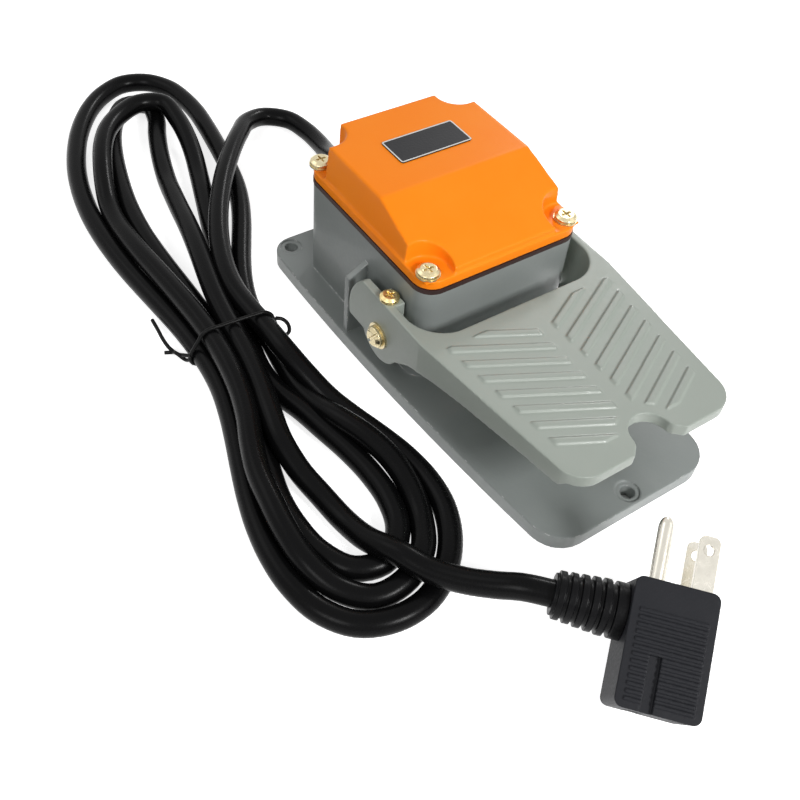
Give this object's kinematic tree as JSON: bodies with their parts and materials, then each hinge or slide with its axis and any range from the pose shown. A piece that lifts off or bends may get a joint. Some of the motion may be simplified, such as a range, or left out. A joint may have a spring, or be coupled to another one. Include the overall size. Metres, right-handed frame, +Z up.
{
  "type": "industrial foot switch",
  "caption": "Die-cast treadle foot switch: bowed base plate with housing, orange cover, ribbed forked pedal on a cross shaft, inner snap switch, tied mains cord and piggyback plug.",
  "frame": {"origin": "on the floor under the middle of the base plate", "axes": "+Z up, -Y towards the toe end of the pedal, +Y towards the cord gland, +X to the right seen from the toe"},
  "size_m": [0.1718, 0.4026, 0.068],
  "materials": {
    "housing_paint": "smooth hammered-free grey enamel on die-cast aluminium",
    "pedal_paint": "light grey enamel on die-cast aluminium",
    "cover_orange": "satin orange enamel on a die-cast cover",
    "gasket_rubber": "dark red-brown rubber",
    "zinc_screw": "zinc and yellow passivated steel",
    "brass": "plain turned brass",
    "shaft_steel": "ground steel",
    "lever_metal": "raw cast zinc",
    "black_oxide": "black oxide steel",
    "spring_steel": "drawn spring wire",
    "sheet_steel": "bright zinc plated sheet",
    "switch_case": "black phenolic moulding",
    "plunger_red": "red moulded plastic",
    "earth_green": "green passivated steel",
    "gland_nylon": "black nylon",
    "seal_rubber": "soft black rubber",
    "wire_brown": "thin wire insulation",
    "wire_black": "thin wire insulation",
    "wire_green": "thin wire insulation",
    "cord_pvc": "glossy black PVC sheath",
    "tie_pvc": "plastic covered tie wire",
    "plug_pvc": "moulded PVC with fine ribs",
    "plug_metal": "plated brass",
    "plate_dark": "plain dark plate"
  },
  "bodies": {
    "body": {"base_housing": "housing_paint", "cover": "cover_orange", "cover_gasket": "gasket_rubber", "cover_screws": "zinc_screw", "cover_washers": "zinc_screw", "nameplate": "plate_dark", "shaft_bush_left": "brass", "shaft_bush_right": "brass", "return_spring": "spring_steel", "switch_bracket": "sheet_steel", "bracket_screws": "zinc_screw", "switch_body": "switch_case", "switch_terminals": "brass", "switch_screws": "zinc_screw", "earth_screw": "earth_green", "gland_body": "gland_nylon", "gland_seal": "seal_rubber", "gland_nut": "gland_nylon", "gland_locknut": "gland_nylon", "wire_line": "wire_brown", "wire_load": "wire_black", "wire_earth": "wire_green", "cord_lead": "cord_pvc", "cord_hank": "cord_pvc", "cord_tail": "cord_pvc", "twist_tie": "tie_pvc", "plug_body": "plug_pvc", "plug_strain_relief": "plug_pvc", "plug_blades": "plug_metal", "plug_ground_pin": "plug_metal"},
    "pedal": {"pedal": "pedal_paint", "pivot_shaft": "shaft_steel", "pivot_screws": "zinc_screw", "pivot_washers": "zinc_screw", "arm_set_screws": "brass", "cam_lever": "lever_metal", "lever_screw": "black_oxide"},
    "plunger": {"switch_plunger": "plunger_red"}
  },
  "joints": [
    {"name": "pedal_hinge", "type": "hinge", "parent": "body", "child": "pedal", "pos_m": [0, 0.0086, 0.0228], "axis": [1, 0, 0], "range_deg": [0, 8], "stiffness_Nm_per_rad": 2.5, "springref_deg": -17.19},
    {"name": "plunger_slide", "type": "slide", "parent": "body", "child": "plunger", "axis": [0, 0, 1], "range_m": [0, 0.0016]}
  ],
  "couplings": [
    {"joint": "plunger_slide", "follows": "pedal_hinge", "m_per_rad": 0.0105}
  ]
}
